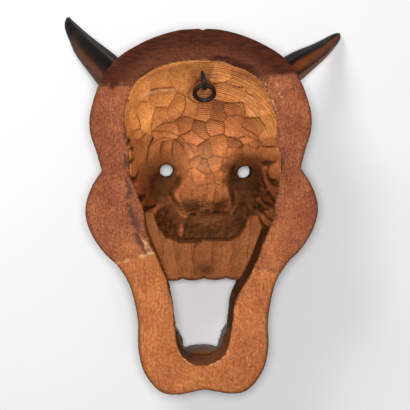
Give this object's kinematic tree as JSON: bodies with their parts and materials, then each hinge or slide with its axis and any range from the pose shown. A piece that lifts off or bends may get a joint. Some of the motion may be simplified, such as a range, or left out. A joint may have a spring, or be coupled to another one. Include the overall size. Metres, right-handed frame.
{
  "type": "hannya mask",
  "caption": "Carved wooden horned demon mask with a hollow back, open fanged mouth, eye holes and an iron hanging ring inside the forehead.",
  "frame": {"origin": "under the middle of the whole, on the surface that the mask lies on", "axes": "+Z the way the open back faces, +Y towards the crown, +X to the right as seen from behind"},
  "size_m": [0.2592, 0.3386, 0.11],
  "materials": {
    "mask_wood": "oiled and worn",
    "horn_wood": "dark stain, dull shine",
    "iron": "dark and slightly rusted"
  },
  "bodies": {
    "root": {"mask": "mask_wood", "horn_left": "horn_wood", "horn_right": "horn_wood", "hanging_ring": "iron", "ring_pin": "iron"}
  },
  "joints": []
}
